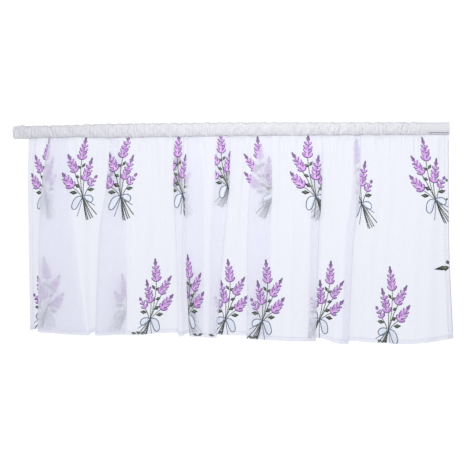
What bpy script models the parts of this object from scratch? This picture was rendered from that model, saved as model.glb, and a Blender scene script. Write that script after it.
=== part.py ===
"""A sheer window valance, hung on a rod through its own pocket. Metres, +Z up.

X runs along the rod, the front faces -Y. The origin is at mid-length, on the line where the inside
of the pocket rests on the rod. The panel is one sheet. Its folds are rows of a table: at each fold
the cloth runs on to a right-hand turn, back to a left-hand turn, and on again, so that three layers
lie behind one another there.
"""

import math
from collections import namedtuple

import bmesh
import bpy

# Driving dimensions
POCKET_LENGTH = 0.931
POCKET_DEPTH = 0.020
POCKET_STATIONS = 88
CLOTH = 0.001
HEM_CLOTH = 0.0016
HEM_HEIGHT = 0.009
HEM_STEP = 0.001
SIDE_HEM_COLUMNS = 2
DROP = 0.425
SEAM_GAP = 0.0004

# Heights down the panel, as distances below the seam, where the tables below give their values.
LEVELS = (0.0, 0.10, 0.21, DROP)
LAYER_SPACING = (0.0026, 0.0062, 0.0085, 0.0105)
LEFT_EDGE = (-0.433, -0.435, -0.4345, -0.433)
RIGHT_EDGE = (0.4636, 0.4642, 0.4656, 0.4757)
# A turn takes up this many layer spacings of cloth on each side.
TURN_LENGTH = 2.2

# One row for each fold, from left to right. cloth_on_left says which way the left-hand layer goes:
# behind (1) or in front (-1). left and right are the X of the two turns at each level.
Fold = namedtuple("Fold", "name cloth_on_left left right")
FOLDS = (
    Fold("edge", 1, (-0.386, -0.404, -0.411, -0.4155), (-0.344, -0.340, -0.333, -0.306)),
    Fold("outer", 1, (-0.250, -0.259, -0.2755, -0.2855), (-0.232, -0.2215, -0.215, -0.215)),
    Fold("ridge", 1, (-0.112, -0.112, -0.1075, -0.099), (-0.096, -0.095, -0.099, -0.105)),
    Fold("inner", 1, (-0.081, -0.087, -0.088, -0.079), (-0.056, -0.046, -0.047, -0.050)),
    Fold("tuck", -1, (-0.019, -0.026, -0.033, -0.037), (0.011, 0.009, -0.0005, -0.018)),
    Fold("middle", 1, (0.082, 0.052, 0.0465, 0.0445), (0.099, 0.099, 0.0965, 0.0965)),
    Fold("lap", -1, (0.183, 0.181, 0.179, 0.175), (0.206, 0.204, 0.199, 0.1925)),
    Fold("pinch", -1, (0.269, 0.2665, 0.254, 0.246), (0.284, 0.284, 0.271, 0.2605)),
)

# How many gathers each stretch between two folds holds, from left to right.
STRETCH_GATHERS = (3, 8, 8, 1, 4, 5, 8, 5, 13)
GATHER_DEPTH = 0.0090
GATHER_FADE = 0.075
GATHER_LEFT_AT_HEM = 0.12

# Where the hanging cloth swells forward, most at the hem. A negative swell falls back.
Swell = namedtuple("Swell", "x reach forward")
SWELLS = (
    Swell(-0.372, 0.045, -0.006),
    Swell(-0.175, 0.055, 0.012),
    Swell(-0.065, 0.030, -0.005),
    Swell(0.010, 0.030, 0.008),
    Swell(0.140, 0.040, 0.015),
    Swell(0.230, 0.022, -0.006),
    Swell(0.305, 0.020, 0.012),
    Swell(0.395, 0.060, 0.030),
)

# Height of the hem and of the seam along X.
Height = namedtuple("Height", "x z")
HEM_LINE = (
    Height(-0.440, -0.4420),
    Height(-0.290, -0.4480),
    Height(-0.210, -0.4440),
    Height(-0.080, -0.4465),
    Height(0.045, -0.4490),
    Height(0.190, -0.4510),
    Height(0.240, -0.4560),
    Height(0.330, -0.4575),
    Height(0.370, -0.4565),
    Height(0.430, -0.4500),
    Height(0.480, -0.4425),
)
SEAM_LINE = (
    Height(-0.470, -0.0245),
    Height(-0.430, -0.0240),
    Height(-0.340, -0.0220),
    Height(-0.260, -0.0243),
    Height(-0.110, -0.0230),
    Height(0.130, -0.0224),
    Height(0.470, -0.0235),
)
# How far the gathered cloth stands above the rod.
CROWN_LINE = (
    Height(-0.470, 0.0004),
    Height(-0.340, 0.0016),
    Height(-0.250, 0.0036),
    Height(0.000, 0.0038),
    Height(0.150, 0.0026),
    Height(0.420, 0.0005),
    Height(0.470, 0.0003),
)

# Half of the pocket's outline, from the seam up: how wide it is, and how high, as shares.
Girth = namedtuple("Girth", "width height")
POCKET_OUTLINE = (
    Girth(0.40, 0.00),
    Girth(0.68, 0.13),
    Girth(0.93, 0.36),
    Girth(1.00, 0.62),
    Girth(0.84, 0.84),
    Girth(0.48, 0.96),
)
POCKET_RIPPLE = 0.0007
SMOOTH_END = 0.060


def clear_scene():
    for obj in list(bpy.data.objects):
        bpy.data.objects.remove(obj, do_unlink=True)


def ease(share):
    share = min(max(share, 0.0), 1.0)
    return share * share * (3.0 - 2.0 * share)


def through(places, values, at):
    """A smooth curve through the values at the places, with no overshoot."""
    if at <= places[0]:
        return values[0]
    if at >= places[-1]:
        return values[-1]
    slopes = [(v1 - v0) / (p1 - p0) for p0, p1, v0, v1 in zip(places, places[1:], values, values[1:])]
    tangents = [slopes[0]]
    for before, after in zip(slopes, slopes[1:]):
        steady = before * after > 0.0
        tangents.append(2.0 * before * after / (before + after) if steady else 0.0)
    tangents.append(slopes[-1])
    i = max(k for k in range(len(places) - 1) if places[k] <= at)
    width = places[i + 1] - places[i]
    t = (at - places[i]) / width
    start = (1 + 2 * t) * (1 - t) ** 2 * values[i] + t * (1 - t) ** 2 * width * tangents[i]
    end = t * t * (3 - 2 * t) * values[i + 1] - t * t * (1 - t) * width * tangents[i + 1]
    return start + end


def at_level(values, below):
    return through(LEVELS, values, below)


def height_at(line, x):
    return through([row.x for row in line], [row.z for row in line], x)


def swell_at(x, below):
    """How far the cloth hangs out from the plane of the seam, +Y being back."""
    share = (below / DROP) ** 1.4
    return -share * sum(s.forward * math.exp(-(((x - s.x) / s.reach) ** 2)) for s in SWELLS)


def gather_at(index, below):
    """The depth of one gather: they alternate, are uneven, and fade down the panel."""
    uneven = 0.62 + 0.38 * math.sin(2.1 * index + 0.9 * math.sin(0.7 * index))
    fade = math.exp(-below / GATHER_FADE) + GATHER_LEFT_AT_HEM
    start = ease(below / 0.012)
    return (-1) ** index * GATHER_DEPTH * uneven * fade * (0.18 + 0.82 * start)


def fold_points(fold, below):
    """Guide points of one fold's two turns, and the bounds of the layers beside them."""
    spacing = at_level(LAYER_SPACING, below)
    left, right = at_level(fold.left, below), at_level(fold.right, below)
    inner = min(TURN_LENGTH * spacing, 0.42 * (right - left))
    outer = max(inner, 0.0008)
    side = fold.cloth_on_left * spacing
    return [
        (right - outer, side),
        (right, side),
        (right, 0.0),
        (right - inner, 0.0),
        (left + inner, 0.0),
        (left, 0.0),
        (left, -side),
        (left + outer, -side),
    ]


def free_points(start, end, start_side, end_side, gathers, first_index, below):
    """Guide points of the cloth between two folds, with its gathers."""
    points = [(start, start_side)]
    for k in range(gathers):
        share = (k + 1) / (gathers + 1)
        side = start_side + (end_side - start_side) * ease(share)
        points.append((start + (end - start) * share, side + gather_at(first_index + k, below)))
    points.append((end, end_side))
    return points


def guide_points(below):
    """The whole panel's guide points at one height, and which of them turn a fold."""
    clear = 0.4 * at_level(LAYER_SPACING, below) + 0.001
    points, turning, index = [], [], 0
    start, start_side = at_level(LEFT_EDGE, below), 0.0
    for fold, gathers in zip(FOLDS, STRETCH_GATHERS):
        turns = fold_points(fold, below)
        left, right = at_level(fold.left, below), at_level(fold.right, below)
        end = max(min(left, right) - clear, start + 0.001)
        stretch = free_points(start, end, start_side, turns[0][1], gathers, index, below)
        points += stretch + turns
        turning += [False] * len(stretch) + [True] * len(turns)
        index += gathers + 1
        start, start_side = max(left, right) + clear, turns[-1][1]
    last = free_points(
        start, at_level(RIGHT_EDGE, below), start_side, 0.0, STRETCH_GATHERS[-1], index, below
    )
    return points + last, turning + [False] * len(last)


def spline_weights(t):
    return (
        (1 - t) ** 3 / 6,
        (3 * t**3 - 6 * t * t + 4) / 6,
        (-3 * t**3 + 3 * t * t + 3 * t + 1) / 6,
        t**3 / 6,
    )


def panel_row(below):
    """The panel's line in plan at one height: X, Y and the layer's own offset at every column."""
    points, turning = guide_points(below)
    before = tuple(2 * a - b for a, b in zip(points[0], points[1]))
    after = tuple(2 * a - b for a, b in zip(points[-1], points[-2]))
    guides = [before] + points + [after]
    row = []
    for i in range(len(points) - 1):
        steps = 2 if turning[i] and turning[i + 1] else 1
        for step in range(steps):
            weights = spline_weights(step / steps)
            x, side = (sum(w * guides[i + k][axis] for k, w in enumerate(weights)) for axis in (0, 1))
            row.append((x, side + swell_at(x, below), side))
    row.append((points[-1][0], points[-1][1] + swell_at(points[-1][0], below), 0.0))
    return row


def panel_place(x, y, side, below):
    """A point of the panel. A layer further back hangs a little shorter."""
    seam = height_at(SEAM_LINE, x) - SEAM_GAP
    hem = height_at(HEM_LINE, x) + 0.25 * side
    return (x, y, seam + (hem - seam) * below / DROP)


def panel_heights():
    """Rows are close together where the gathers fade and where the hem is turned."""
    upper = [0.0, 0.012, 0.034, 0.068, 0.115, 0.175, 0.245, 0.325, 0.390]
    return upper + [DROP - HEM_HEIGHT, DROP - HEM_HEIGHT + HEM_STEP, DROP]


def fabric_material(name, colour, roughness):
    material = bpy.data.materials.new(name)
    material.use_nodes = True
    shader = material.node_tree.nodes["Principled BSDF"]
    shader.inputs["Base Color"].default_value = (*colour, 1.0)
    shader.inputs["Roughness"].default_value = roughness
    shader.inputs["Metallic"].default_value = 0.0
    material.diffuse_color = (*colour, 1.0)
    return material


def finish_object(name, sheet, material, thickness, group=None, thin_share=1.0):
    """Gives the sheet its thickness, both ways from its middle."""
    mesh = bpy.data.meshes.new(name)
    sheet.to_mesh(mesh)
    sheet.free()
    obj = bpy.data.objects.new(name, mesh)
    bpy.context.scene.collection.objects.link(obj)
    mesh.materials.append(material)
    mesh.shade_smooth()
    if group:
        obj.vertex_groups.new(name="hem").add(group, 1.0, "REPLACE")
    solid = obj.modifiers.new("cloth thickness", "SOLIDIFY")
    solid.thickness = thickness
    solid.offset = 0.0
    if group:
        solid.vertex_group = "hem"
        solid.thickness_vertex_group = thin_share
    return obj


def build_panel(material):
    """One sheet: the top row is drawn along the seam, and each row below is drawn from the last."""
    mesh = bmesh.new()
    heights = panel_heights()
    row = [mesh.verts.new(panel_place(x, y, side, 0.0)) for x, y, side in panel_row(0.0)]
    columns = len(row)
    for below in heights[1:]:
        places = [panel_place(x, y, side, below) for x, y, side in panel_row(below)]
        next_row = [mesh.verts.new(place) for place in places]
        for a, b, c, d in zip(row, row[1:], next_row[1:], next_row):
            mesh.faces.new((a, d, c, b))
        row = next_row
    hems = []
    for level, below in enumerate(heights):
        for column in range(columns):
            at_bottom = below > DROP - HEM_HEIGHT + HEM_STEP / 2
            at_side = min(column, columns - 1 - column) < SIDE_HEM_COLUMNS
            if at_bottom or at_side:
                hems.append(level * columns + column)
    return finish_object("panel", mesh, material, HEM_CLOTH, hems, CLOTH / HEM_CLOTH)


def pocket_ripple(x, share, across):
    """Gathers standing out round the pocket: none at the seam, none on the smooth right-hand end."""
    wave = 1.3 + math.sin(230 * x + 2.2 * across + 1.9 * math.sin(41 * x + 3 * share))
    wave += 0.6 * math.sin(131 * x - 1.7 * across + 4.0 * share)
    calm = ease((POCKET_LENGTH / 2 - x) / SMOOTH_END)
    bunched = 1.0 + 1.1 * ease((-0.425 - x) / 0.03)
    return POCKET_RIPPLE * wave * calm * bunched * ease(share / 0.3)


def pocket_section(x):
    """The closed outline of the pocket's outer side at one place along the rod."""
    bottom = height_at(SEAM_LINE, x)
    tall = CLOTH + height_at(CROWN_LINE, x) - bottom
    places = []
    for across in (-1, 1):
        rows = POCKET_OUTLINE if across < 0 else POCKET_OUTLINE[::-1]
        for girth in rows:
            out = girth.width * POCKET_DEPTH / 2 + pocket_ripple(x, girth.height, across)
            rise = girth.height * tall
            places.append((x, across * out, bottom + rise))
        if across < 0:
            crown = tall + 0.6 * pocket_ripple(x, 1.0, 0)
            places.append((x, 0.0, bottom + crown))
    return places


def build_pocket(material):
    """An open sleeve: a ring of points is drawn along the rod, station by station."""
    mesh = bmesh.new()
    rings = []
    for station in range(POCKET_STATIONS + 1):
        x = POCKET_LENGTH * (station / POCKET_STATIONS - 0.5)
        rings.append([mesh.verts.new(place) for place in pocket_section(x)])
    for ring, following in zip(rings, rings[1:]):
        for k in range(len(ring)):
            n = (k + 1) % len(ring)
            mesh.faces.new((ring[k], following[k], following[n], ring[n]))
    obj = finish_object("rod_pocket", mesh, material, CLOTH)
    obj.modifiers["cloth thickness"].offset = -1.0
    return obj


def main():
    clear_scene()
    build_pocket(fabric_material("pocket cloth", (0.80, 0.80, 0.83), 0.85))
    build_panel(fabric_material("sheer cloth", (0.84, 0.85, 0.92), 0.80))


main()
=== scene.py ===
# %% [markdown]
# A sheer window valance, hung in folds on its own rod pocket, with embroidered lavender bunches.
#
# This file is a lesson in cells. Run it from top to bottom in Blender. Each step says what the piece
# is on the real valance, how it could be made, and why it is made this way here.

import math
from collections import namedtuple

import bmesh
import bpy
import numpy as np
from mathutils import Matrix, Vector


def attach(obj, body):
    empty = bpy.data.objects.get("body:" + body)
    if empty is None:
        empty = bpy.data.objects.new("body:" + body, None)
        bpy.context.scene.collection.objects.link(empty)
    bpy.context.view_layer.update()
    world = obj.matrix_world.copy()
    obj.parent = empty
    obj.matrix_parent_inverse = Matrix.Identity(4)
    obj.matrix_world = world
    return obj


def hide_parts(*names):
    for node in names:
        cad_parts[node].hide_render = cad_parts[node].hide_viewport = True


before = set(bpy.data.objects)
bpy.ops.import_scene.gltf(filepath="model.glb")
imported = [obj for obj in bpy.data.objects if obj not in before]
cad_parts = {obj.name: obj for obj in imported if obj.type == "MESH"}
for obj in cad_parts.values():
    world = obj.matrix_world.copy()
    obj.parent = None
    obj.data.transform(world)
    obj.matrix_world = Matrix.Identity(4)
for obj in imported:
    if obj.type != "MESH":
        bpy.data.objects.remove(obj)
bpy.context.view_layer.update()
MM = 0.001

# %% [markdown]
# The camera comes first, so that every later piece can be judged in the photograph's view. The
# valance is seen almost straight on, from a little to the right, with the eye at about a third of
# the way down the cloth. A long lens stands 2.3 m away.

# %% The camera
VIEW_AZIMUTH = math.radians(8.2)
EYE_HEIGHT = -0.158
EYE_DISTANCE = 2.3
LENS_MM = 83.1
SENSOR_MM = 36.0
AIM = Vector((0.0199, 0.0, -0.2322))


def put(name, data):
    """A new object in the scene, at the origin."""
    thing = bpy.data.objects.new(name, data)
    bpy.context.scene.collection.objects.link(thing)
    return thing


def point_at(thing, spot):
    thing.rotation_euler = (spot - thing.location).to_track_quat("-Z", "Y").to_euler()


def place_camera():
    camera = put("camera", bpy.data.cameras.new("camera"))
    camera.data.lens = LENS_MM
    camera.data.sensor_width = SENSOR_MM
    level = math.sqrt(EYE_DISTANCE**2 - (EYE_HEIGHT - AIM.z) ** 2)
    away = Vector((math.sin(VIEW_AZIMUTH), -math.cos(VIEW_AZIMUTH), 0.0)) * level
    camera.location = (AIM.x + away.x, away.y, EYE_HEIGHT)
    point_at(camera, AIM)
    bpy.context.scene.camera = camera
    return camera


print("camera at", tuple(round(c, 3) for c in place_camera().location))

# %% [markdown]
# Materials are node trees. Joining sockets by hand makes long code, so one small class wraps a
# socket and lets Python's own signs add the Math nodes. One method adds any other node: its
# settings first, and then the values or links of its inputs. The rest are short names for nodes
# that come back often.


# %% A node tree that reads like arithmetic
class Maths:
    """A number on its way through a material's nodes."""

    def __init__(self, finish, socket):
        self.finish = finish
        self.socket = socket

    def _with(self, operation, first, second):
        return self.finish.add("ShaderNodeMath", {"operation": operation}, {0: first, 1: second})

    def __add__(self, other):
        return self._with("ADD", self, other)

    def __radd__(self, other):
        return self._with("ADD", other, self)

    def __sub__(self, other):
        return self._with("SUBTRACT", self, other)

    def __rsub__(self, other):
        return self._with("SUBTRACT", other, self)

    def __mul__(self, other):
        return self._with("MULTIPLY", self, other)

    def __rmul__(self, other):
        return self._with("MULTIPLY", other, self)


class Finish:
    """One material, with its Principled shader ready to be wired."""

    def __init__(self, name):
        self.material = bpy.data.materials.new(name)
        self.material.use_nodes = True
        self.tree = self.material.node_tree
        self.shader = self.tree.nodes["Principled BSDF"]

    def add(self, kind, settings, inputs, output=0):
        node = self.tree.nodes.new(kind)
        for name, value in settings.items():
            setattr(node, name, value)
        self.wire(node, inputs)
        return Maths(self, node.outputs[output])

    def wire(self, node, inputs):
        for key, value in inputs.items():
            if isinstance(value, Maths):
                self.tree.links.new(value.socket, node.inputs[key])
            else:
                node.inputs[key].default_value = value

    def shade(self, **inputs):
        self.wire(self.shader, {name.replace("_", " "): value for name, value in inputs.items()})

    def blend(self, share, first, second):
        """A colour between two, by a share from 0 to 1."""
        settings = {"data_type": "RGBA"}
        return self.add("ShaderNodeMix", settings, {0: share, 6: first, 7: second}, output=2)

    def let_through(self, colour, share):
        """Adds light that comes through from the cloth's other side, scattered."""
        scattered = self.add("ShaderNodeBsdfTranslucent", {}, {"Color": colour})
        inputs = {0: share, 1: Maths(self, self.shader.outputs[0]), 2: scattered}
        both = self.add("ShaderNodeMixShader", {}, inputs)
        self.wire(self.tree.nodes["Material Output"], {"Surface": both})

    def scaled(self, place, *scale):
        return self.add("ShaderNodeMapping", {}, {"Vector": place, "Scale": scale})

    def noise(self, place, scale, **more):
        return self.add("ShaderNodeTexNoise", {}, {"Vector": place, "Scale": scale, **more})

    def bands(self, place, direction, scale):
        """Straight soft stripes across one direction, from 0 to 1."""
        settings = {"wave_type": "BANDS", "bands_direction": direction}
        return self.add("ShaderNodeTexWave", settings, {"Vector": place, "Scale": scale}, output=1)

    def bump(self, height, depth, strength):
        inputs = {"Height": height, "Distance": depth, "Strength": strength}
        return self.add("ShaderNodeBump", {}, inputs)


print("Maths and Finish are ready")

# %% [markdown]
# The studio has a plain pale floor and soft light from all sides. A valance hangs as high as the top
# of a window, so the floor lies well below it. A wall behind the cloth would hide it from the back, so
# a white surround stands in for one. Sheer cloth needs that white: what shows through is part of its
# colour.

# %% The pale floor and the surround
FLOOR_HEIGHT = -2.1
FLOOR_REACH = 5.4
SHADE = (0.935, 0.96, 1.03, 1.0)


def floor_finish():
    finish = Finish("studio floor")
    finish.shade(Base_Color=(0.9, 0.9, 0.9, 1.0), Roughness=0.9)
    finish.shade(Emission_Color=(1.0, 1.0, 1.0, 1.0), Emission_Strength=0.35)
    return finish.material


def lay_floor():
    mesh = bmesh.new()
    middle = Matrix.Translation((0.0, 0.0, FLOOR_HEIGHT))
    bmesh.ops.create_circle(mesh, cap_ends=True, segments=96, radius=FLOOR_REACH, matrix=middle)
    data = bpy.data.meshes.new("studio_floor")
    mesh.to_mesh(data)
    mesh.free()
    floor = put("studio_floor", data)
    data.materials.append(floor_finish())
    return floor


def light_surround(seen, shaded_behind_cloth, given):
    """White to the eye, greyer where seen through the cloth as painted shade, and a weaker, cooler light
    on the folds.
    """
    world = bpy.data.worlds.new("white surround")
    bpy.context.scene.world = world
    world.use_nodes = True
    tree = world.node_tree
    rays = tree.nodes.new("ShaderNodeLightPath")
    through_cloth = tree.nodes.new("ShaderNodeMix")
    by_ray = tree.nodes.new("ShaderNodeMix")
    for mix in (through_cloth, by_ray):
        mix.data_type = "RGBA"
    through_cloth.inputs[6].default_value = (seen, seen, seen, 1.0)
    # Painted shade: the surround is greyer where it is seen through the cloth.
    through_cloth.inputs[7].default_value = [shaded_behind_cloth * c for c in SHADE]
    by_ray.inputs[6].default_value = [given * c for c in SHADE]
    tree.links.new(rays.outputs["Transparent Depth"], through_cloth.inputs[0])
    tree.links.new(rays.outputs["Is Camera Ray"], by_ray.inputs[0])
    tree.links.new(through_cloth.outputs[2], by_ray.inputs[7])
    tree.links.new(by_ray.outputs[2], tree.nodes["Background"].inputs["Color"])


bpy.context.scene.view_settings.view_transform = "Standard"
print("floor:", lay_floor().name)
light_surround(seen=1.04, shaded_behind_cloth=0.92, given=0.54)

# %% [markdown]
# One large soft lamp above and in front models the folds: its light fades towards the hem and the
# left-hand side. Two that stand further off fill in from the left and from behind. Large lamps give
# the soft shade that a light tent gives.

# %% The lamps
Lamp = namedtuple("Lamp", "name place size power")
LAMPS = (
    Lamp("key", (0.11, -0.86, 0.36), 0.7, 8.6),
    Lamp("fill", (-1.7, -1.7, 0.3), 1.2, 3.2),
    Lamp("back", (0.4, 2.2, 0.8), 2.0, 15.0),
)
LIT_POINT = Vector((0.11, 0.0, -0.16))


def hang_lamp(lamp):
    light = bpy.data.lights.new(lamp.name, "AREA")
    light.shape = "SQUARE"
    light.size = lamp.size
    light.energy = lamp.power
    holder = put(lamp.name, light)
    holder.location = lamp.place
    point_at(holder, LIT_POINT)
    holder.visible_camera = False
    return holder


for lamp in LAMPS:
    print("lamp", hang_lamp(lamp).name, lamp.power, "W")

# %% [markdown]
# The hanging cloth is one long sheet. At each fold it runs on to a right-hand turn, comes back to a
# left-hand turn, and runs on again, so that three layers lie behind one another. The tables below are
# the ones that the solid was made from: where each fold turns, at four heights down the cloth. A
# simulation could find folds too, but they would not fall where the photograph has them.

# %% The folds, at four heights below the seam
DROP = 0.425
HEM_HEIGHT = 0.009
SEAM_GAP = 0.0004
LEVELS = (0.0, 0.1, 0.21, DROP)
LAYER_SPACING = (0.0026, 0.0062, 0.0085, 0.0105)
LEFT_EDGE = (-0.433, -0.435, -0.4345, -0.433)
RIGHT_EDGE = (0.4636, 0.4642, 0.4656, 0.4757)
TURN_LENGTH = 2.2
Fold = namedtuple("Fold", "name cloth_on_left left right")
FOLDS = (
    Fold("edge", 1, (-0.386, -0.404, -0.411, -0.4155), (-0.344, -0.34, -0.333, -0.306)),
    Fold("outer", 1, (-0.25, -0.259, -0.2755, -0.2855), (-0.232, -0.2215, -0.215, -0.215)),
    Fold("ridge", 1, (-0.112, -0.112, -0.1075, -0.099), (-0.096, -0.095, -0.099, -0.105)),
    Fold("inner", 1, (-0.081, -0.087, -0.088, -0.079), (-0.056, -0.046, -0.047, -0.05)),
    Fold("tuck", -1, (-0.019, -0.026, -0.033, -0.037), (0.011, 0.009, -0.0005, -0.018)),
    Fold("middle", 1, (0.082, 0.052, 0.0465, 0.0445), (0.099, 0.099, 0.0965, 0.0965)),
    Fold("lap", -1, (0.183, 0.181, 0.179, 0.175), (0.206, 0.204, 0.199, 0.1925)),
    Fold("pinch", -1, (0.269, 0.2665, 0.254, 0.246), (0.284, 0.284, 0.271, 0.2605)),
)
STRETCH_GATHERS = (3, 8, 8, 1, 4, 5, 8, 5, 13)
GATHER_DEPTH = 0.009
GATHER_FADE = 0.075
GATHER_LEFT_AT_HEM = 0.12
GATHER_AT_SEAM = 0.18
GATHER_OPENS = 0.012
Swell = namedtuple("Swell", "x reach forward")
SWELLS = (
    Swell(-0.372, 0.045, -0.006),
    Swell(-0.175, 0.055, 0.012),
    Swell(-0.065, 0.03, -0.005),
    Swell(0.01, 0.03, 0.008),
    Swell(0.14, 0.04, 0.015),
    Swell(0.23, 0.022, -0.006),
    Swell(0.305, 0.02, 0.012),
    Swell(0.395, 0.06, 0.03),
)
# Places along the rod, and how high the line lies there.
HEM_LINE = (
    (-0.44, -0.442),
    (-0.29, -0.448),
    (-0.21, -0.444),
    (-0.08, -0.4465),
    (0.045, -0.449),
    (0.19, -0.451),
    (0.24, -0.456),
    (0.33, -0.4575),
    (0.37, -0.4565),
    (0.43, -0.45),
    (0.48, -0.4425),
)
SEAM_LINE = (
    (-0.47, -0.0245),
    (-0.43, -0.024),
    (-0.34, -0.022),
    (-0.26, -0.0243),
    (-0.11, -0.023),
    (0.13, -0.0224),
    (0.47, -0.0235),
)
print(len(FOLDS), "folds and", len(SWELLS), "swells")

# %% [markdown]
# Values between the heights of a table come from a smooth curve with no overshoot, and a fold's turns
# come from a B-spline: it rounds a row of guide points as thick thread would, and never loops.


# %% Smooth curves
def ease(share):
    share = np.clip(share, 0.0, 1.0)
    return share * share * (3.0 - 2.0 * share)


def through(places, values, at):
    """A smooth curve through the values at the places, with no overshoot."""
    if at <= places[0]:
        return values[0]
    if at >= places[-1]:
        return values[-1]
    slopes = [(v1 - v0) / (p1 - p0) for p0, p1, v0, v1 in zip(places, places[1:], values, values[1:])]
    tangents = [slopes[0]]
    for before, after in zip(slopes, slopes[1:]):
        steady = before * after > 0.0
        tangents.append(2.0 * before * after / (before + after) if steady else 0.0)
    tangents.append(slopes[-1])
    i = max(k for k in range(len(places) - 1) if places[k] <= at)
    width = places[i + 1] - places[i]
    t = (at - places[i]) / width
    start = (1 + 2 * t) * (1 - t) ** 2 * values[i] + t * (1 - t) ** 2 * width * tangents[i]
    end = t * t * (3 - 2 * t) * values[i + 1] - t * t * (1 - t) * width * tangents[i + 1]
    return start + end


def at_level(values, below):
    return through(LEVELS, values, below)


LINE_PLACES = np.linspace(-0.49, 0.49, 197)


def heights_of(line):
    """The height of a line such as the hem at each of LINE_PLACES."""
    places, values = zip(*line)
    return np.array([through(places, values, x) for x in LINE_PLACES])


HEM_HEIGHTS = heights_of(HEM_LINE)
SEAM_HEIGHTS = heights_of(SEAM_LINE)


def seam_and_hem(x):
    """How high the seam and the hem lie at one place along the rod."""
    return [float(np.interp(x, LINE_PLACES, heights)) for heights in (SEAM_HEIGHTS, HEM_HEIGHTS)]


print("hem from", HEM_HEIGHTS.min().round(4), "to", HEM_HEIGHTS.max().round(4))


# %% Guide points of the cloth at one height
def gather_at(index, below):
    """The depth of one gather: they alternate, are uneven, and fade down the panel."""
    uneven = 0.62 + 0.38 * math.sin(2.1 * index + 0.9 * math.sin(0.7 * index))
    fade = math.exp(-below / GATHER_FADE) + GATHER_LEFT_AT_HEM
    opened = GATHER_AT_SEAM + (1.0 - GATHER_AT_SEAM) * float(ease(below / GATHER_OPENS))
    return (-1) ** index * GATHER_DEPTH * uneven * fade * opened


def fold_points(fold, below):
    """Guide points of one fold's two turns, the right-hand one first."""
    spacing = at_level(LAYER_SPACING, below)
    left, right = at_level(fold.left, below), at_level(fold.right, below)
    inner = min(TURN_LENGTH * spacing, 0.42 * (right - left))
    outer = max(inner, 0.0008)
    side = fold.cloth_on_left * spacing
    right_turn = [(right - outer, side), (right, side), (right, 0.0), (right - inner, 0.0)]
    left_turn = [(left + inner, 0.0), (left, 0.0), (left, -side), (left + outer, -side)]
    return right_turn + left_turn


def free_points(start, end, start_side, end_side, gathers, first_index, below):
    """Guide points of the cloth between two folds, with its gathers."""
    points = [(start, start_side)]
    for k in range(gathers):
        share = (k + 1) / (gathers + 1)
        side = start_side + (end_side - start_side) * float(ease(share))
        points.append((start + (end - start) * share, side + gather_at(first_index + k, below)))
    points.append((end, end_side))
    return points


def guide_points(below):
    """All guide points at one height, and how many of them lie before each fold's first turn."""
    clear = 0.4 * at_level(LAYER_SPACING, below) + 0.001
    points, first_turns, index = [], [], 0
    start, start_side = at_level(LEFT_EDGE, below), 0.0
    for fold, gathers in zip(FOLDS, STRETCH_GATHERS):
        turns = fold_points(fold, below)
        left, right = at_level(fold.left, below), at_level(fold.right, below)
        end = max(min(left, right) - clear, start + 0.001)
        points += free_points(start, end, start_side, turns[0][1], gathers, index, below)
        first_turns.append(len(points))
        points += turns
        index += gathers + 1
        start, start_side = max(left, right) + clear, turns[-1][1]
    gathers, right_edge = STRETCH_GATHERS[-1], at_level(RIGHT_EDGE, below)
    points += free_points(start, right_edge, start_side, 0.0, gathers, index, below)
    return np.array(points), first_turns


GUIDES = len(guide_points(0.0)[0])
FIRST_TURNS = guide_points(0.0)[1]
FOLD_GUIDES = 8
print(GUIDES, "guide points; the folds start at", FIRST_TURNS)

# %% [markdown]
# The solid has the main folds. Real voile also has fine pleats under the pocket, where all of its
# width is drawn in, and long soft creases that run down from them. Both are added here as a small
# push along the cloth's own normal, so the main folds stay where they are.


# %% The cloth's surface
def spline(points, along):
    """Points of the B-spline with these guides, at places counted in guides."""
    before = 2 * points[0] - points[1]
    after = 2 * points[-1] - points[-2]
    guides = np.vstack([before, points, after])
    k = np.clip(along.astype(int), 0, len(points) - 2)
    t = (along - k)[:, None]
    weights = (
        (1 - t) ** 3 / 6,
        (3 * t**3 - 6 * t * t + 4) / 6,
        (-3 * t**3 + 3 * t * t + 3 * t + 1) / 6,
        t**3 / 6,
    )
    return sum(weight * guides[k + i] for i, weight in enumerate(weights))


def swell_at(x, below):
    """How far the cloth hangs out from the plane of the seam, +Y being back."""
    bulge = sum(s.forward * np.exp(-(((x - s.x) / s.reach) ** 2)) for s in SWELLS)
    return -((below / DROP) ** 1.4) * bulge


def length_along(line):
    steps = np.linalg.norm(np.diff(line, axis=0), axis=1)
    return np.concatenate([[0.0], np.cumsum(steps)])


def normals_of(line):
    """The cloth's normal in plan, pointing out of its front."""
    tangent = np.gradient(line, axis=0)
    tangent /= np.linalg.norm(tangent, axis=1)[:, None]
    return np.column_stack([tangent[:, 1], -tangent[:, 0]])


def near_turns(along):
    """1 at the folds, where the layers lie close together, and 0 on the free cloth."""
    middles = [first + FOLD_GUIDES / 2 - 0.5 for first in FIRST_TURNS]
    near = [np.clip(1.0 - np.abs(along - middle) / 6.0, 0.0, 1.0) for middle in middles]
    return ease(2.0 * np.max(near, axis=0))


# Two places under the pocket where the seam is drawn in more tightly.
Pucker = namedtuple("Pucker", "width reach")
PUCKERS = (Pucker(0.035, 0.03), Pucker(1.495, 0.035))
PLEAT_DEPTH = 0.0017
PLEAT_FADE = 0.032
CREASE_DEPTH = 0.0024
CREASE_START = 0.05


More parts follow.
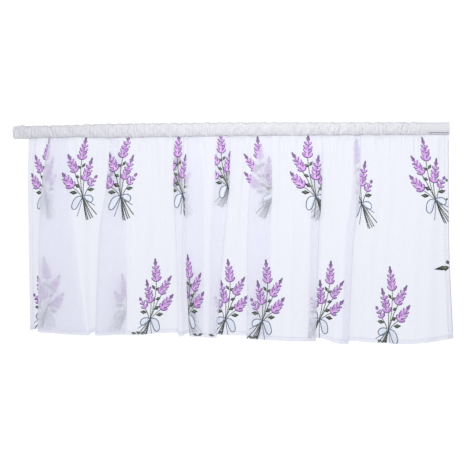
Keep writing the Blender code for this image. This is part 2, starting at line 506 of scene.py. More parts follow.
def fine_pleats(width, below, along):
    """Small pleats under the pocket and long soft creases below them."""
    free = 1.0 - 0.8 * near_turns(along)
    phase = 640.0 * width + 2.6 * np.sin(47.0 * width) + 1.4 * np.sin(19.0 * width + 9.0 * below)
    uneven = 0.6 + 0.4 * np.sin(83.0 * width + 1.3)
    uneven = uneven + sum(1.3 * np.exp(-(((width - p.width) / p.reach) ** 2)) for p in PUCKERS)
    fade = math.exp(-below / PLEAT_FADE)
    pleats = PLEAT_DEPTH * fade * float(ease(below / 0.005)) * uneven * np.sin(phase)
    slow = np.sin(118.0 * width + 2.2 * np.sin(13.0 * width) + 2.0 * below)
    start = float(ease(below / CREASE_START))
    creases = CREASE_DEPTH * np.sin(61.0 * width + 5.0 * below) * slow * start
    return (pleats + creases) * free


SAMPLES_PER_GUIDE = 12
FINE = np.linspace(0, GUIDES - 1, (GUIDES - 1) * SAMPLES_PER_GUIDE + 1)
MEAN_LENGTH = np.mean([length_along(spline(guide_points(b)[0], FINE)) for b in LEVELS[1:]], axis=0)
CLOTH_WIDTH = MEAN_LENGTH[-1]


def cloth_row(below, width):
    """The sheet's line in space at one height, for places counted in metres across the flat cloth."""
    along = np.interp(width, MEAN_LENGTH, FINE)
    line = spline(guide_points(below)[0], along)
    side = line[:, 1].copy()
    line[:, 1] += swell_at(line[:, 0], below)
    normal = normals_of(line)
    line += normal * fine_pleats(width, below, along)[:, None]
    seam = np.interp(line[:, 0], LINE_PLACES, SEAM_HEIGHTS) - SEAM_GAP
    hem = np.interp(line[:, 0], LINE_PLACES, HEM_HEIGHTS) + 0.25 * side
    places = np.column_stack([line, seam + (hem - seam) * below / DROP])
    return places, np.column_stack([normal, np.zeros(len(normal))])


print("flat cloth", round(CLOTH_WIDTH, 3), "m wide and", DROP, "m deep")

# %% [markdown]
# The sheet starts as a flat grid, and each of its points is then carried to its place in the folds.
# Its hems are the same cloth, turned back: the grid's last rows, and its outer columns on both
# sides, run back behind their neighbours, a hair's breadth away.

# %% The panel
COLUMNS = 940
THREADS = 900.0
TURNED = 0.0007
SIDE_HEM = 0.01
FLAT_MARGIN = 0.02
UPPER_ROWS = [0.0, 0.003, 0.006, 0.01, 0.014, 0.019, 0.024, 0.03, 0.036, 0.043]
LOWER_ROWS = list(np.linspace(0.051, DROP - HEM_HEIGHT - 0.0008, 62))
HEM_ROWS = [DROP - HEM_HEIGHT, DROP - 0.006, DROP - 0.003, DROP - 0.0006, DROP]
CLOTH_ROWS = UPPER_ROWS + LOWER_ROWS + HEM_ROWS
# How far down a turned row lies, or how far in a turned column, and its share of TURNED.
TURNED_ROWS = [(DROP, 0.6), (DROP - 0.0006, 1.0), (DROP - 0.004, 1.0), (DROP - HEM_HEIGHT, 0.7)]
TURNED_COLUMNS = [(0.0, 0.6), (0.0008, 1.0), (0.005, 1.0), (SIDE_HEM, 0.6)]


def piece_from(data, material):
    """Puts a mesh in the scene as a piece of the valance."""
    data.shade_smooth()
    data.materials.append(material)
    return put(data.name, data)


def new_piece(name, mesh, material):
    """Turns a bmesh into a piece of the valance."""
    data = bpy.data.meshes.new(name)
    mesh.to_mesh(data)
    mesh.free()
    return piece_from(data, material)


def panel_columns():
    """Where each column of the grid lies across the flat cloth, and how far behind it."""
    flat = np.linspace(0.0, CLOTH_WIDTH, COLUMNS)
    right = [(CLOTH_WIDTH - inset, behind) for inset, behind in TURNED_COLUMNS]
    return np.array(TURNED_COLUMNS[::-1] + [(width, 0.0) for width in flat] + right)


def flat_grid(columns, rows):
    """A bmesh grid, with its points in reading order: row by row, from left to right."""
    mesh = bmesh.new()
    bmesh.ops.create_grid(mesh, x_segments=columns - 1, y_segments=rows - 1, size=1.0)
    order = sorted(mesh.verts, key=lambda v: (-round(v.co.y, 5), round(v.co.x, 5)))
    return mesh, order


def move(verts, places):
    for vert, place in zip(verts, places):
        vert.co = place


def write_flat_uv(mesh, order, across, down):
    """UV map of the flat cloth: one unit is two metres, so that all of it fits the square."""
    places = dict(zip(order, [(a / 2.0, 0.5 + d / 2.0) for d in down for a in across]))
    layer = mesh.loops.layers.uv.new("flat_cloth")
    for face in mesh.faces:
        for loop in face.loops:
            loop[layer].uv = places[loop.vert]


def hang_panel(material):
    columns = panel_columns()
    rows = [(below, 0.0) for below in CLOTH_ROWS] + TURNED_ROWS
    mesh, order = flat_grid(len(columns), len(rows))
    # The hems' columns run back over the cloth, so their normals come from a line that doesn't.
    in_order, which = np.unique(columns[:, 0], return_inverse=True)
    for r, (below, row_behind) in enumerate(rows):
        places, normal = [part[which] for part in cloth_row(below, in_order)]
        behind = np.maximum(columns[:, 1], row_behind) * TURNED
        move(order[r * len(columns) :], places - normal * behind[:, None])
    flat_down = [below for below, _ in rows[: len(CLOTH_ROWS)]]
    flat_down += [2 * DROP - below for below, _ in TURNED_ROWS]
    insets = [inset for inset, _ in TURNED_COLUMNS]
    across = [-inset for inset in insets[::-1]] + list(columns[len(insets) : -len(insets), 0])
    across += [CLOTH_WIDTH + inset for inset in insets]
    write_flat_uv(mesh, order, [a + FLAT_MARGIN for a in across], flat_down)
    return new_piece("panel_cloth", mesh, material)


def cloth_finish(name, colour, clear, scattered):
    """Fine voile: two sets of threads, a few of them thicker, and the light between them."""
    finish = Finish(name)
    flat = finish.add("ShaderNodeUVMap", {"uv_map": "flat_cloth"}, {})
    cloth = finish.scaled(flat, 2.0, 2.0, 2.0)
    warp, weft = [finish.bands(cloth, direction, THREADS) for direction in "XY"]
    slubs = finish.noise(finish.scaled(flat, 1400.0, 24.0, 1.0), 1.0)
    cross_slubs = finish.noise(finish.scaled(flat, 24.0, 1400.0, 1.0), 1.0)
    broad = finish.noise(flat, 22.0, Detail=3.0)
    slub = slubs * 0.5 + cross_slubs * 0.5
    weave = warp * 0.5 + weft * 0.5
    paler = tuple(min(1.0, 1.03 * c) for c in colour)
    darker = tuple(0.97 * c for c in colour)
    finish.shade(Base_Color=finish.blend(slub, (*darker, 1.0), (*paler, 1.0)))
    finish.shade(Alpha=(1.0 - clear) + (slub - 0.5) * 0.08 + (weave - 0.5) * 0.08 + (broad - 0.5) * 0.08)
    finish.shade(Roughness=0.78, Normal=finish.bump(weave + slub, 0.00012, 0.5))
    finish.let_through((*paler, 1.0), scattered)
    return finish.material


SHEER = cloth_finish("sheer voile", (0.89, 0.885, 0.95), clear=0.68, scattered=0.3)
panel = hang_panel(SHEER)
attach(panel, "root")
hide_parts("panel")
print("panel:", len(panel.data.polygons), "faces")

# %% [markdown]
# The rod pocket is the top of the same cloth, turned over to the back and sewn down, so it is a soft
# sleeve. All of the cloth's width is crowded on to it: it stands out in small uneven pleats, pinched
# at the seam, and only its right-hand end lies smooth. A grid rolled into a ring gives the sleeve,
# and each of its points is then pushed out by the pleats. They stand out further than in the
# photograph, because the sleeve has to hold the cloth's whole width, and it still holds 30% less.

# %% The rod pocket
POCKET_LENGTH = 0.931
POCKET_DEPTH = 0.02
POCKET_GIRTH = 0.07
THICKNESS = 0.001
SMOOTH_END = 0.03
SMOOTH_FADE = 0.06
CROWN_LINE = (
    (-0.47, 0.0004),
    (-0.34, 0.0016),
    (-0.25, 0.0036),
    (0.0, 0.0038),
    (0.15, 0.0026),
    (0.42, 0.0005),
    (0.47, 0.0003),
)
CROWN_HEIGHTS = heights_of(CROWN_LINE)
# Half of the sleeve's outline, from the seam up: how wide it is, and how high, as shares.
POCKET_OUTLINE = (
    (0.14, 0.0),
    (0.42, 0.03),
    (0.68, 0.13),
    (0.93, 0.36),
    (1.0, 0.62),
    (0.84, 0.84),
    (0.48, 0.96),
    (0.0, 1.0),
)
STATIONS = 780
ROUND = 60
# Creases along the smooth end: how high each lies, as a share of the sleeve's height, and its depth.
Crease = namedtuple("Crease", "height depth")
END_CREASES = (Crease(0.13, 0.0015), Crease(0.28, 0.0012), Crease(0.5, 0.0007), Crease(0.68, 0.0005))
# How far the pleats and the broader lumps stand out, in millimetres.
PLEATS_OUT = 1.16
LUMPS_OUT = 0.72


def outline_at(share):
    """Width and height of the half outline, at a share of the way from the seam to the crown."""
    lengths = length_along(np.array(POCKET_OUTLINE))
    return [through(lengths, values, share * lengths[-1]) for values in zip(*POCKET_OUTLINE)]


def gathered_at(x):
    """1 where the sleeve is gathered, and 0 on its smooth right-hand end."""
    return ease((POCKET_LENGTH / 2 - x - SMOOTH_END) / SMOOTH_FADE)


def crumple(x, height, across):
    """How far the sleeve's cloth stands out, at places along the rod."""
    gathered = gathered_at(x)
    bunched = 1.0 + 0.8 * ease((-0.425 - x) / 0.03)
    drift = 1.7 * np.sin(37.0 * x + 3.0 * height) + 1.1 * np.sin(91.0 * x + 1.0 + across)
    pleats = np.sin(760.0 * x + drift + 2.4 * across) * (0.55 + 0.45 * np.sin(143.0 * x + across))
    small = 0.5 * np.sin(1130.0 * x + 2.0 * drift - 3.0 * height)
    lumps = 0.8 * np.sin(171.0 * x + 5.0 * height + 2.0 * across) + 0.6 * np.sin(263.0 * x - 7.0 * height)
    lumps = lumps + 0.5 * np.sin(409.0 * x + 9.0 * height + 4.0 * np.sin(29.0 * x))
    rise = ease(height / 0.1) * (1.0 - 0.55 * ease((height - 0.55) / 0.45))
    fold = MM * (PLEATS_OUT * (pleats + small) * rise + LUMPS_OUT * lumps * ease(height / 0.3))
    crease = sum(c.depth * np.exp(-(((height - c.height) / 0.038) ** 2)) for c in END_CREASES)
    return (fold + 0.0006) * gathered * bunched - crease * (1.0 - gathered)


def sag_at(x, across):
    """How far the sleeve's lower edge bags over the seam, between the places where it is pinched."""
    waves = np.sin(97.0 * x + 2.0 * np.sin(23.0 * x)) + 0.8 * np.sin(241.0 * x + across)
    return MM * (0.9 + 0.95 * waves) * gathered_at(x)


def sleeve_line(x, share, across):
    """Places along the rod on the sleeve: across is -1 on the front wall and 1 on the back."""
    width, height = outline_at(share)
    bottom = np.interp(x, LINE_PLACES, SEAM_HEIGHTS)
    tall = THICKNESS + np.interp(x, LINE_PLACES, CROWN_HEIGHTS) - bottom
    out = crumple(x, height, across)
    y = across * (width * POCKET_DEPTH / 2 + out * ease(width / 0.3))
    z = bottom + height * tall + 1.1 * out * ease((height - 0.8) / 0.2)
    z = z - sag_at(x, across) * (1.0 - height) ** 3 * ease(height / 0.05)
    return np.column_stack([x, y, z])


def roll_pocket(material):
    mesh, order = flat_grid(STATIONS, ROUND + 1)
    x = np.linspace(-POCKET_LENGTH / 2, POCKET_LENGTH / 2, STATIONS)
    for r in range(ROUND + 1):
        turn = 2.0 * r / ROUND
        across = -1 if turn <= 1.0 else 1
        line = sleeve_line(x, turn if turn <= 1.0 else 2.0 - turn, across)
        move(order[r * STATIONS :], line)
    flat_across = FLAT_MARGIN + (x - x[0]) * CLOTH_WIDTH / POCKET_LENGTH
    flat_down = np.linspace(0.0, POCKET_GIRTH, ROUND + 1)
    write_flat_uv(mesh, order, flat_across, flat_down)
    bmesh.ops.remove_doubles(mesh, verts=mesh.verts, dist=0.00001)
    bmesh.ops.recalc_face_normals(mesh, faces=mesh.faces)
    return new_piece("pocket_sleeve", mesh, material)


# Painted shade: the sleeve's voile is a darker copy of the panel's, to tone down the key lamp's light
# close above the pocket. That it lets less light through is real, since the cloth lies doubled there.
POCKET_VOILE_PAINTED_SHADE = cloth_finish("pocket voile with painted shade", (0.665, 0.66, 0.685), clear=0.06, scattered=0.05)
sleeve = roll_pocket(POCKET_VOILE_PAINTED_SHADE)
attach(sleeve, "root")
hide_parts("rod_pocket")
print("pocket sleeve:", len(sleeve.data.polygons), "faces")

# %% [markdown]
# A surface table makes the rest easy: it holds the cloth's places, normals and lengths at many
# heights. Anything sewn on the cloth is drawn flat first, as on the maker's table, and then laid on
# the folded cloth by its own length along it. Embroidery near a fold then turns round the fold.

# %% A table of the folded cloth
TABLE_ROWS = np.linspace(0.0, DROP, 107)
TABLE_WIDTHS = np.linspace(0.0, CLOTH_WIDTH, 1800)
TABLE = [cloth_row(below, TABLE_WIDTHS) for below in TABLE_ROWS]
TABLE_LENGTHS = [length_along(places) for places, _ in TABLE]
TABLE_ALONG = np.interp(TABLE_WIDTHS, MEAN_LENGTH, FINE)
# How far on from its first guide a fold turns, at its right and at its left, in guides.
RIGHT_TURN = 1.5
LEFT_TURN = 5.5


def cloth_at(row, width):
    """Places and front normals at one row of the table, for places across the flat cloth."""
    places, normals = TABLE[row]
    found = [np.interp(width, TABLE_WIDTHS, column) for column in (*places.T, *normals.T)]
    return np.column_stack(found[:3]), np.column_stack(found[3:])


def guides_between(stretch, after, before):
    """Two places in guides, each so far on from the first turn of a fold beside the stretch."""
    first = 0 if stretch == 0 else FIRST_TURNS[stretch - 1] + after
    last = GUIDES - 1 if stretch == len(FOLDS) else FIRST_TURNS[stretch] + before
    return first, last


def widths_in_reach(stretch):
    """The part of the flat cloth from the middle layer before a stretch to the one behind it."""
    return np.interp(guides_between(stretch, RIGHT_TURN, LEFT_TURN), FINE, MEAN_LENGTH)


def width_where(row, stretch, x):
    """Where across the flat cloth the stretch passes X at this row of the table."""
    first, last = guides_between(stretch, LEFT_TURN, RIGHT_TURN)
    inside = (TABLE_ALONG >= first) & (TABLE_ALONG <= last)
    places = np.maximum.accumulate(TABLE[row][0][inside, 0])
    return float(np.interp(x, places, TABLE_WIDTHS[inside]))


def lay_on_cloth(points, stretch, x_knot, z_knot, lean):
    """Carries flat points (right, up, out of the cloth) on to one stretch; tells which it reaches."""
    seam, hem = seam_and_hem(x_knot)
    below = np.clip((seam - z_knot - points[:, 1]) / (seam - hem), 0.0, 0.9995) * DROP
    rows = below / (TABLE_ROWS[1] - TABLE_ROWS[0])
    laid = np.zeros_like(points)
    inside = np.ones(len(points), dtype=bool)
    lowest, highest = widths_in_reach(stretch)
    for row in range(len(TABLE_ROWS) - 1):
        here = np.nonzero((rows >= row) & (rows < row + 1))[0]
        if len(here) == 0:
            continue
        share = (rows[here] - row)[:, None]
        ends = []
        for at in (row, row + 1):
            up = seam - TABLE_ROWS[at] / DROP * (seam - hem) - z_knot
            middle = width_where(at, stretch, x_knot + lean * up)
            start = np.interp(middle, TABLE_WIDTHS, TABLE_LENGTHS[at])
            width = np.interp(start + points[here, 0], TABLE_LENGTHS[at], TABLE_WIDTHS)
            places, normals = cloth_at(at, width)
            ends.append(places + normals * points[here, 2][:, None])
        laid[here] = ends[0] * (1 - share) + ends[1] * share
        inside[here] = (width >= lowest) & (width <= highest)
    return laid, inside


print("surface table:", len(TABLE), "rows of", len(TABLE_WIDTHS), "places")

# %% [markdown]
# Stitches are short rounded threads. Rows of them hold the three hems and close the pocket. Two rows of
# grey thread along the pocket's smooth end are painted shade: they darken its low creases. Each stitch
# is a small stretched ball, set along the line that the needle followed.


# %% The stitches
def thread_finish(name, gloss):
    """Embroidery thread: its dye comes with each stitch, and fine satin lines run across it, darkened as
    painted shade between the strands.
    """
    finish = Finish(name)
    dye = finish.add("ShaderNodeAttribute", {"attribute_name": "dye"}, {})
    satin = finish.add("ShaderNodeAttribute", {"attribute_name": "satin"}, {}, output=1)
    lines = finish.bands(satin, "DIAGONAL", 330.0)
    grain = finish.noise(satin, 900.0)
    # Painted shade: the dye darkens along the satin lines, where the grooves between strands lie; the
    # grain adds random darker flecks.
    dark = finish.blend(lines * 0.35 + grain * 0.25, dye, (0.16, 0.1, 0.2, 1.0))
    finish.shade(Base_Color=finish.blend(0.55, dye, dark))
    finish.shade(Roughness=0.55 - gloss * lines, Normal=finish.bump(lines, 0.00012, 0.6))
    return finish.material


def dyed(red, green, blue):
    """A thread's colour, from the 0 to 255 of a colour chart to the light that a shader needs."""
    return tuple(((v / 255 + 0.055) / 1.055) ** 2.4 for v in (red, green, blue)) + (1.0,)


def ball(sides, rings):
    """The points and faces of one small ball, as a shape to copy."""
    mesh = bmesh.new()
    bmesh.ops.create_uvsphere(mesh, u_segments=sides, v_segments=rings, radius=1.0)
    mesh.verts.index_update()
    points = np.array([v.co for v in mesh.verts])
    faces = [[v.index for v in face.verts] for face in mesh.faces]
    mesh.free()
    return points, faces


# With only two rings, a ball is a pointed lozenge, as a leaf is.
BALLS = {shape: ball(*shape) for shape in ((5, 3), (6, 3), (8, 2), (8, 4))}


class Needlework:
    """Many small threads, gathered into one mesh: each is a copy of a ball, stretched and turned."""

    def __init__(self):
        self.points = []
        self.faces = []
        self.dyes = []
        self.satin = []
        self.count = 0

    def knob(self, centre, direction, normal, sizes, dye, sides=8, rings=4):
        """A stretched ball: sizes are its half length, half width and half thickness."""
        long_way = np.array(direction) / np.linalg.norm(direction)
        across = np.cross(normal, long_way)
        across /= np.linalg.norm(across)
        up = np.cross(long_way, across)
        length, width, thick = sizes
        ball_points, ball_faces = BALLS[(sides, rings)]
        turn = np.array([across * width, up * thick, long_way * length])
        self.points.append(ball_points @ turn + np.array(centre))
        self.satin.append(ball_points * (width, 0.0, length))
        self.dyes.append(np.tile(dye, (len(ball_points), 1)))
        self.faces += [[self.count + k for k in face] for face in ball_faces]
        self.count += len(ball_points)

    def as_mesh(self, name):
        data = bpy.data.meshes.new(name)
        data.from_pydata(np.concatenate(self.points).tolist(), [], self.faces)
        dye = data.attributes.new("dye", "FLOAT_COLOR", "POINT")
        dye.data.foreach_set("color", np.concatenate(self.dyes).ravel())
        satin = data.attributes.new("satin", "FLOAT_VECTOR", "POINT")
        satin.data.foreach_set("vector", np.concatenate(self.satin).ravel())
        return data


THREAD = dyed(214, 216, 226)
CREASE_SHADE_THREAD = dyed(126, 132, 164)
PALE_GREY_THREAD = dyed(178, 188, 192)
PITCH = 0.0042
# Painted shade: grey thread rows on the smooth end's low creases, as shares of its half outline.
CREASE_SHADE_ROWS = (0.12, 0.27)


def sew_row(work, places, normals, length=0.0028, thick=0.00022, dye=THREAD):
    """Stitches at even steps along a line of places."""
    along = length_along(places)
    stops = np.arange(PITCH, along[-1] - PITCH, PITCH)
    for stop in stops:
        start, end = [
            np.array([np.interp(stop + s * length / 2, along, column) for column in places.T])
            for s in (-1, 1)
        ]
        normal = np.array([np.interp(stop, along, column) for column in normals.T])
        middle = (start + end) / 2 + normal * 0.0002
        sizes = (np.linalg.norm(end - start) / 2, 2 * thick, thick)
        work.knob(middle, end - start, normal, sizes, dye, sides=5, rings=3)
    return len(stops)


def line_down(width):
    """Places and normals down the cloth, at one place across it."""
    column = [cloth_row(below, np.array([width, width + 0.0005])) for below in TABLE_ROWS[2:-2]]
    line = np.array([places[0] for places, _ in column])
    return line, np.array([normals[0] for _, normals in column])


def sew_along_pocket(work, x, share, across, **stitch):
    """A row along the sleeve, at a share of its half outline."""
    facing = np.tile([0.0, float(across), -0.3], (len(x), 1))
    return sew_row(work, sleeve_line(x, share, across), facing, **stitch)


def sew_hems():
    work = Needlework()
    widths = np.linspace(0.002, CLOTH_WIDTH - 0.002, 1500)
    places, normals = cloth_row(DROP - HEM_HEIGHT + 0.001, widths)
    count = sew_row(work, places, normals)
    for width in (SIDE_HEM - 0.001, CLOTH_WIDTH - SIDE_HEM + 0.001):
        line, facing = line_down(width)
        count += sew_row(work, line, facing)
    line, facing = line_down(CLOTH_WIDTH - 0.0008)
    count += sew_row(work, line, facing, length=0.0046, thick=0.0003, dye=PALE_GREY_THREAD)
    x = np.linspace(-POCKET_LENGTH / 2 + 0.002, POCKET_LENGTH / 2 - 0.002, 700)
    for across in (-1, 1):
        count += sew_along_pocket(work, x, 0.09, across, length=0.0024, thick=0.0003)
    # Painted shade: grey rows along the smooth end, where its low creases lie in shade.
    x = np.linspace(POCKET_LENGTH / 2 - 0.046, POCKET_LENGTH / 2 + 0.002, 60)
    for share in CREASE_SHADE_ROWS:
        count += sew_along_pocket(work, x, share, -1, length=0.0046, thick=0.0004, dye=CREASE_SHADE_THREAD)
    return work, count


hem_work, stitch_count = sew_hems()
SEWING = thread_finish("sewing thread", 0.1)
stitches = piece_from(hem_work.as_mesh("hem_and_seam_stitches"), SEWING)
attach(stitches, "root")
print(stitch_count, "stitches")

# %% [markdown]
# The embroidery is a bunch of lavender, tied with a pale ribbon. Each spike is a stack of small satin
# petals, lighter in the middle and outlined in a deeper thread. The bunch is drawn once, flat, in
# millimetres from the knot of its bow. A painted image would be flat, so every petal is raised.

# %% The threads and the parts of a bunch
LILAC = (dyed(214, 166, 228), dyed(190, 138, 208), dyed(226, 184, 236))
OUTLINE = dyed(112, 68, 138)
BUD = dyed(112, 84, 130)
LEAF = dyed(88, 116, 64)
LEAF_EDGE = dyed(26, 42, 26)
STEM = dyed(76, 96, 60)
STEM_DARK = dyed(38, 54, 38)
RIBBON = dyed(232, 240, 250)
RIBBON_EDGE = dyed(106, 120, 136)
KNOT = dyed(44, 62, 66)
Spike = namedtuple("Spike", "tip_x tip_y base_x base_y width tiers")
SPIKES = (
    Spike(7, 129, 12, 79, 25, 4),
    Spike(-11, 85, 0, 34, 24, 4),
    Spike(-25, 47, -10.5, 24, 19, 2),
    Spike(43.5, 91, 20, 52, 23, 4),
    Spike(49, 51, 23, 18, 25, 4),
)
Leaf = namedtuple("Leaf", "x y slant length width")
LEAVES = (
    Leaf(5.5, 67, 125, 11, 5.5),
    Leaf(14.5, 63, 35, 10, 5.5),
    Leaf(16, 42, 20, 10, 6.5),
    Leaf(-15.5, 15.5, 172, 14, 7),
    Leaf(13, 22.5, 25, 13, 7.5),
    Leaf(20, 8, 5, 15, 7.5),
)
# Out of the cloth, while a bunch still lies flat.
UP = (0, 0, 1)
SATIN_THICK = 0.0005
# A tier's three petals: how far each leans, in degrees, and its length as a share of the tier's width.
TIER_PETALS = ((-46, 0.6), (46, 0.6), (4, 0.52))
# Each stalk runs through its own places, from its lower end to its tip.
STALKS = (
    ((-18, -51), (-7, -24), (0, 0), (6, 21), (10.5, 52), (11.5, 82)),
    ((-27, -46), (-11, -20), (0, 0), (9.5, 22), (17, 42), (27, 56)),
    ((-14, -50), (-5, -22), (-1, 0), (1.5, 20), (0.5, 40)),
    ((-34, -39), (-14, -17), (-1.5, -1), (-7, 14), (-16, 29)),
    ((-23, -48), (-9, -22), (-1, -2), (11, 10), (20, 18), (30, 20)),
)


def petal(work, x, y, angle, length, width, dye, lift):
    """A satin petal growing from (x, y) at an angle from upright, on a deeper one that edges it below."""
    turn = math.radians(angle)
    way = Vector((math.sin(turn), math.cos(turn), 0.0))
    upper_side = Vector((way.y, -way.x, 0.0)) * math.copysign(0.5 * MM, -angle)
    middle = Vector((x, y, 0.0)) * MM + way * (length * MM / 2)
    middle.z = lift * MM
    outline = (length * MM / 2, width * MM / 2, 0.00045)
    inner = ((length - 1.4) * MM / 2, (width - 1.6) * MM / 2, 0.00075)
    work.knob(middle, way, UP, outline, OUTLINE)
    work.knob(middle + upper_side, way, UP, inner, dye)


def sew_spike(work, spike):
    """Petals in spreading threes, like an ear of wheat, and a slim bud at the tip."""
    base, tip = Vector((spike.base_x, spike.base_y)), Vector((spike.tip_x, spike.tip_y))
    axis = tip - base
    slant = math.degrees(math.atan2(axis.x, axis.y))
    for tier in reversed(range(spike.tiers)):
        share = 0.7 * tier / spike.tiers
        size = spike.width * (1.0 - 0.55 * share)
        root = base + axis * share
        for k, (angle, reach) in enumerate(TIER_PETALS):
            turned = slant + angle + 7.0 * math.sin(2.0 * tier + 3.0 * k)
            dye = LILAC[(tier + k) % len(LILAC)]
            lift = 0.05 * k + 0.12 * (spike.tiers - tier)
            petal(work, root.x, root.y, turned, reach * size, 0.21 * size + 1.9, dye, lift)
    for angle in (-26, 24):
        root = base + axis * 0.68
        petal(work, root.x, root.y, slant + angle, 0.36 * spike.width, 3.4, LILAC[1], 0.05)
    bud = base + axis * 0.88
    way = Vector((axis.x, axis.y, 0.0))
    centre = Vector((bud.x * MM, bud.y * MM, 0.0002))
    sizes = (0.13 * axis.length * MM, 0.075 * spike.width * MM + 0.0006, 0.0006)
    work.knob(centre, way, UP, sizes, BUD)


def sew_leaf(work, leaf):
    """A pointed leaf: a dark lozenge with a rounder middle, and a paler vein side on it."""
    centre = Vector((leaf.x * MM, leaf.y * MM, 0.0))
    turn = math.radians(leaf.slant)
    way = Vector((math.cos(turn), math.sin(turn), 0.0))
    pale_side = Vector((-way.y, way.x, 0.0)) * (0.08 * leaf.width * MM)
    half, wide = 0.6 * leaf.length * MM, 0.62 * leaf.width * MM
    work.knob(centre, way, UP, (half, wide, 0.0005), LEAF_EDGE, sides=8, rings=2)
    work.knob(centre, way, UP, (0.66 * half, 0.8 * wide, 0.0005), LEAF_EDGE)
    work.knob(centre + pale_side, way, UP, (0.55 * half, 0.42 * wide, 0.0008), LEAF)


def smooth_path(places, steps):
    """Evenly counted places on the B-spline through a few guides, in metres."""
    guides = np.array(places, dtype=float) * MM
    return spline(guides, np.linspace(0, len(guides) - 1, steps))


def sew_line(work, path, width, dye, lift=0.0):
    """A run of satin stitch along a path: short knobs that overlap end to end."""
    for start, end in zip(path, path[1:]):
        middle = Vector((*((start + end) / 2), lift))
        way = Vector((*(end - start), 0.0))
        sizes = (0.62 * way.length, width * MM / 2, SATIN_THICK)
        work.knob(middle, way, UP, sizes, dye, sides=6, rings=3)


def draw_bunch(work):
    for k, stalk in enumerate(STALKS):
        path = smooth_path(stalk, 5 * len(stalk))
        cut = sum(1 for place in path if place[1] < 0.0)
        below, above = (STEM_DARK, STEM) if k % 2 == 0 else (STEM, STEM_DARK)
        sew_line(work, path[: cut + 1], 2.9, below)
        sew_line(work, path[cut:], 2.3, above)
    for leaf in LEAVES:
        sew_leaf(work, leaf)
    for spike in SPIKES:
        sew_spike(work, spike)


print(len(SPIKES), "spikes,", len(LEAVES), "leaves and", len(STALKS), "stalks")

# %% [markdown]
# The bow has two loops of pale ribbon, a knot, and two tails. Each loop is a soft oval of light
# thread with a blue-grey outline round it, one loop longer than the other.

# %% The bow
LEFT_LOOP = ((0, 0), (-8, 4), (-18, 3), (-23, -5), (-21, -12), (-14, -13), (-7, -7), (0, -1))
RIGHT_LOOP = ((0, 0), (9, 1), (17, -4), (20, -15), (21, -25), (14, -30), (8, -24), (4, -10), (0, -1))
TAILS = (((0, -1), (-10, -8), (-18, -13), (-28, -19)), ((0, -1), (1, -14), (3, -28), (6, -43)))


def fill_loop(work, loop):
    """Pale satin across the loop: rows of long knobs from one side of it to the other."""
    outline = smooth_path(loop, 41)
    middle = outline.mean(axis=0)
    spread = outline - middle
    _, _, ways = np.linalg.svd(spread)
    along, across = spread @ ways[0], spread @ ways[1]
    for place in np.linspace(along.min() * 0.86, along.max() * 0.86, 9):
        near = np.abs(along - place) < 0.16 * (along.max() - along.min())
        low, high = across[near].min(), across[near].max()
        centre = middle + ways[0] * place + ways[1] * (low + high) / 2
        sizes = (0.46 * (high - low), 0.0019, 0.0004)
        way = (*ways[1], 0.0)
        work.knob((*centre, 0.0), way, UP, sizes, RIBBON)


def draw_bow(work):
    for loop in (LEFT_LOOP, RIGHT_LOOP):
        fill_loop(work, loop)
        sew_line(work, smooth_path(loop, 26), 2.7, RIBBON_EDGE, lift=0.0002)
    for tail in TAILS:
        sew_line(work, smooth_path(tail, 12), 2.2, RIBBON_EDGE)
    sew_line(work, smooth_path(((0.5, 5), (0, 0), (-1, -6)), 5), 4.6, KNOT, lift=0.0003)


flat_bunch = Needlework()
draw_bunch(flat_bunch)
draw_bow(flat_bunch)
FLAT_BUNCH = flat_bunch.as_mesh("flat bunch")
print("one bunch:", len(FLAT_BUNCH.polygons), "faces")

# %% [markdown]
# The bunches stand in two rows. The lower row is the mirror image of the upper one and stands half a
# step further along, as such border prints do. Each row of the table names the stretch of cloth
# between two folds that a bunch is sewn on, so a bunch behind a fold shows through it only faintly.

# %% The two rows of bunches
# A pull draws the tip of a bunch sideways, where a pucker under the pocket does so. What lies left
# of the start or right of the end, in millimetres from the knot, isn't sewn: a fold hides it.
COLUMNS_OF_BUNCH = "stretch x z lean broad tall pull start end"
Bunch = namedtuple("Bunch", COLUMNS_OF_BUNCH, defaults=(1.0, 1.0, 0.0, -99.0, 99.0))
BUNCH_ROWS = (
    (0, -0.3985, -0.15, 0.13, 0.78),
    (1, -0.312, -0.15, 0.125, 1.06),
    (2, -0.2262, -0.1485, 0.19, 1.1, 1.03),
    (3, -0.0925, -0.145, -0.01, 0.88),
    (4, 0.005, -0.128, -0.05, 0.9, 0.88, -5.0, -25.0),
    (5, 0.0945, -0.148, -0.16, 1.0, 0.97),
    (6, 0.1915, -0.1495, -0.07, 1.07, 1.01),
    (8, 0.2861, -0.165, -0.03, 0.95, 1.05, 0.0, -12.0),
    (8, 0.4372, -0.1563, -0.1, 1.0, 1.0, -4.6),
    (0, -0.402, -0.411, -0.07, 0.95),
    (1, -0.2175, -0.403, 0.1, 1.25, 1.0, 0.0, -99.0, 2.0),
    (2, -0.162, -0.412, 0.02),
    (4, -0.0835, -0.401, -0.02, 0.8),
    (5, -0.0005, -0.413, -0.02),
    (6, 0.0797, -0.41, 0.0),
    (7, 0.199, -0.412, 0.13),
    (8, 0.3431, -0.429, -0.04, 1.0, 1.03),
)
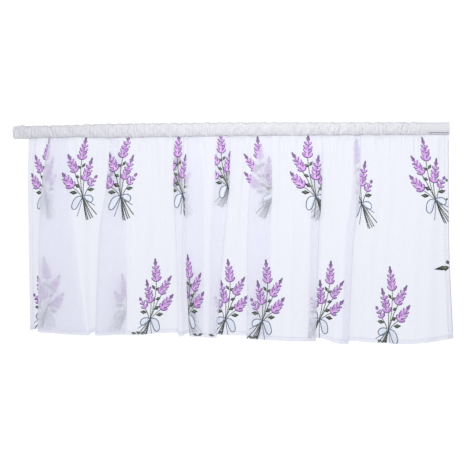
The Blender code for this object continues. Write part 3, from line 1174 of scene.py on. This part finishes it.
# Leaves that stand by themselves: along the hem, and at the right-hand edge.
LooseLeaf = namedtuple("LooseLeaf", "stretch x z slant length width", defaults=(4.5,))
LOOSE_LEAF_ROWS = (
    (2, -0.196, -0.44, 170, 11),
    (2, -0.186, -0.4395, -20, 10),
    (2, -0.177, -0.44, 200, 9),
    (4, -0.065, -0.4425, 165, 11),
    (4, -0.054, -0.442, 205, 11),
    (4, -0.029, -0.4425, 170, 12),
    (5, -0.013, -0.4425, 195, 9),
    (6, 0.054, -0.4445, 170, 11),
    (6, 0.065, -0.444, 205, 10),
    (8, 0.325, -0.453, 165, 10),
    (8, 0.335, -0.4535, 200, 8, 4),
    (8, 0.453, -0.298, 3, 32, 8),
    (8, 0.459, -0.2988, 0, 12, 9),
    (8, 0.463, -0.286, -65, 9, 6),
    (8, 0.46, -0.117, 110, 7),
    (8, 0.4605, -0.156, 80, 5, 4),
)
BUNCHES = [Bunch(*row) for row in BUNCH_ROWS]
LOOSE_LEAVES = [LooseLeaf(*row) for row in LOOSE_LEAF_ROWS]
BETWEEN_ROWS = -0.25


def in_upper_row(place):
    return place.z > BETWEEN_ROWS


def lay_bunch(sewn, place):
    """Copies the flat bunch, cuts off what would lie past the hem, and lays it on the cloth."""
    copy = bmesh.new()
    copy.from_mesh(FLAT_BUNCH)
    seam, hem = seam_and_hem(place.x)
    for vert in copy.verts:
        vert.co.x *= -place.broad if in_upper_row(place) else place.broad
        vert.co.y *= place.tall
        vert.co.x += place.pull * max(0.0, vert.co.y - 0.08) ** 2
    cuts = (
        ((0.0, hem + 0.0006 - place.z, 0.0), (0, -1, 0)),
        ((0.0, seam - 0.0006 - place.z, 0.0), (0, 1, 0)),
        ((place.start * MM, 0.0, 0.0), (-1, 0, 0)),
        ((place.end * MM, 0.0, 0.0), (1, 0, 0)),
    )
    for spot, outward in cuts:
        everything = list(copy.verts) + list(copy.edges) + list(copy.faces)
        plane = {"plane_co": spot, "plane_no": outward, "clear_outer": True}
        bmesh.ops.bisect_plane(copy, geom=everything, dist=0.00001, **plane)
    bmesh.ops.holes_fill(copy, edges=copy.edges, sides=0)
    flat_points = np.array([v.co for v in copy.verts])
    laid, inside = lay_on_cloth(flat_points, place.stretch, place.x, place.z, place.lean)
    move(copy.verts, laid)
    unreached = [vert for vert, reached in zip(copy.verts, inside) if not reached]
    bmesh.ops.delete(copy, geom=unreached, context="VERTS")
    if in_upper_row(place):
        bmesh.ops.reverse_faces(copy, faces=copy.faces)
    data = bpy.data.meshes.new("laid")
    copy.to_mesh(data)
    copy.free()
    sewn.from_mesh(data)
    bpy.data.meshes.remove(data)


def lay_leaf(sewn, place):
    """Sews one loose leaf flat, and lays it on the cloth."""
    leaf = Needlework()
    sew_leaf(leaf, Leaf(0.0, 0.0, place.slant, place.length, place.width))
    flat_points = np.concatenate(leaf.points)
    leaf.points = [lay_on_cloth(flat_points, place.stretch, place.x, place.z, 0.0)[0]]
    data = leaf.as_mesh("loose leaf")
    sewn.from_mesh(data)
    bpy.data.meshes.remove(data)


def embroider(bunches, leaves, name, material):
    sewn = bmesh.new()
    for place in bunches:
        lay_bunch(sewn, place)
    for place in leaves:
        lay_leaf(sewn, place)
    return new_piece(name, sewn, material)


SATIN = thread_finish("satin thread", 0.22)
for name, upper in (("upper_bunches", True), ("lower_bunches", False)):
    bunches = [place for place in BUNCHES if in_upper_row(place) == upper]
    leaves = [place for place in LOOSE_LEAVES if in_upper_row(place) == upper]
    piece = embroider(bunches, leaves, name, SATIN)
    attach(piece, "root")
    print(name, len(bunches), "bunches,", len(leaves), "leaves,", len(piece.data.polygons), "faces")
